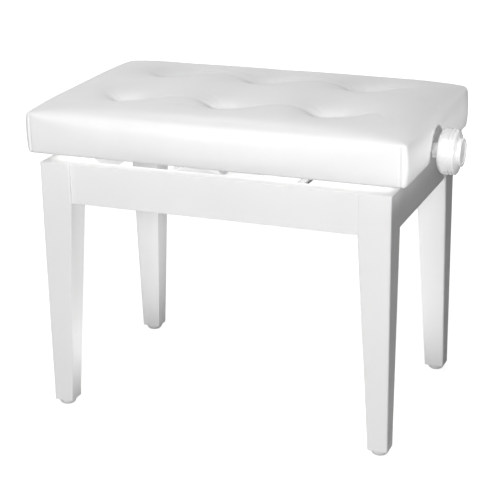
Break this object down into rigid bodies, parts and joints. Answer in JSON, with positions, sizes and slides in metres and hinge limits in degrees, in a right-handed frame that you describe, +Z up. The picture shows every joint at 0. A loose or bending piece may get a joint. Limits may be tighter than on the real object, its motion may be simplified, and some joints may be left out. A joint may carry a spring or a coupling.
{
  "type": "piano bench",
  "caption": "Height-adjustable piano bench with a tufted white vinyl seat on a scissor lift, a wooden frame with tapered legs, and a turning knob at its right-hand end.",
  "frame": {"origin": "on the floor, midway between the four feet", "axes": "+X along the bench towards the knob, +Y towards the back, +Z up"},
  "size_m": [0.5916, 0.334, 0.464],
  "materials": {
    "lacquered_wood": "smooth white lacquer over hardwood, satin",
    "plywood": "birch plywood with a thin coat of white paint",
    "vinyl": "white upholstery vinyl with a fine grain, semi-gloss",
    "foam": "open-cell polyurethane foam",
    "white_steel": "white powder coat on folded steel",
    "zinc_steel": "zinc-plated steel",
    "bright_steel": "drawn bar, lightly oiled",
    "brass": "machined brass",
    "nylon": "moulded nylon, natural",
    "glide_plastic": "moulded white plastic",
    "twine": "waxed tufting twine",
    "lacquered_knob": "glossy white, turned"
  },
  "bodies": {
    "base": {"leg_back_right": "lacquered_wood", "leg_back_left": "lacquered_wood", "leg_front_right": "lacquered_wood", "leg_front_left": "lacquered_wood", "foot_glides": "glide_plastic", "foot_screws": "zinc_steel", "apron_back": "lacquered_wood", "apron_front": "lacquered_wood", "apron_left": "lacquered_wood", "apron_right": "lacquered_wood", "corner_blocks": "lacquered_wood", "corner_bolts": "zinc_steel", "corner_nuts": "zinc_steel", "corner_screws": "zinc_steel", "base_rail_back": "white_steel", "base_rail_front": "white_steel", "base_rail_screws": "zinc_steel", "base_shaft": "bright_steel", "base_shaft_rings": "zinc_steel", "base_spacers": "zinc_steel"},
    "arms_a": {"arm_a_back": "white_steel", "arm_a_front": "white_steel", "middle_shaft": "bright_steel", "middle_rings": "zinc_steel", "middle_washers": "zinc_steel"},
    "arms_b": {"arm_b_back": "white_steel", "arm_b_front": "white_steel", "slide_shaft": "bright_steel", "slide_rings": "zinc_steel"},
    "lower_shoes": {"lower_shoes": "nylon"},
    "nut": {"nut_block": "brass", "nut_shafts": "bright_steel", "nut_rings": "zinc_steel", "upper_shoes": "nylon"},
    "seat": {"box_back": "lacquered_wood", "box_front": "lacquered_wood", "box_right": "lacquered_wood", "box_left": "lacquered_wood", "spindle_bush": "nylon", "seat_board": "plywood", "board_screws": "zinc_steel", "seat_foam": "foam", "seat_cover": "vinyl", "cover_staples": "zinc_steel", "tuft_buttons": "vinyl", "tuft_twines": "twine", "tuft_toggles": "nylon", "seat_rail_back": "white_steel", "seat_rail_front": "white_steel", "seat_rail_screws": "zinc_steel", "thrust_block": "zinc_steel", "seat_shafts": "bright_steel", "seat_rings": "zinc_steel", "seat_spacers": "zinc_steel"},
    "spindle": {"spindle": "bright_steel", "spindle_collars": "zinc_steel", "collar_screws": "zinc_steel", "knob": "lacquered_knob", "knob_screw": "zinc_steel", "knob_cap": "lacquered_knob"}
  },
  "joints": [
    {"name": "lift_hinge", "type": "hinge", "parent": "base", "child": "arms_a", "pos_m": [0.10029, 0, 0.35], "axis": [0, 1, 0], "range_deg": [0, 30.39]},
    {"name": "cross_hinge", "type": "hinge", "parent": "arms_a", "child": "arms_b", "pos_m": [0.004, 0, 0.377], "axis": [0, 1, 0], "range_deg": [-60.78, 0]},
    {"name": "lower_shoe_hinge", "type": "hinge", "parent": "arms_b", "child": "lower_shoes", "pos_m": [-0.09229, 0, 0.35], "axis": [0, 1, 0], "range_deg": [0, 30.39]},
    {"name": "seat_hinge", "type": "hinge", "parent": "arms_b", "child": "seat", "pos_m": [0.10029, 0, 0.404], "axis": [0, 1, 0], "range_deg": [0, 30.39]},
    {"name": "nut_hinge", "type": "hinge", "parent": "arms_a", "child": "nut", "pos_m": [-0.09229, 0, 0.404], "axis": [0, 1, 0], "range_deg": [-30.39, 0]},
    {"name": "knob_spin", "type": "hinge", "parent": "seat", "child": "spindle", "pos_m": [0.275, -0.03, 0.404], "axis": [-1, 0, 0], "range_deg": [0, 3228]}
  ],
  "couplings": [
    {"joint": "cross_hinge", "follows": "lift_hinge", "ratio": -2},
    {"joint": "lower_shoe_hinge", "follows": "lift_hinge", "ratio": 1},
    {"joint": "seat_hinge", "follows": "lift_hinge", "ratio": 1},
    {"joint": "nut_hinge", "follows": "lift_hinge", "ratio": -1},
    {"joint": "knob_spin", "follows": "lift_hinge", "ratio": 106.17}
  ]
}
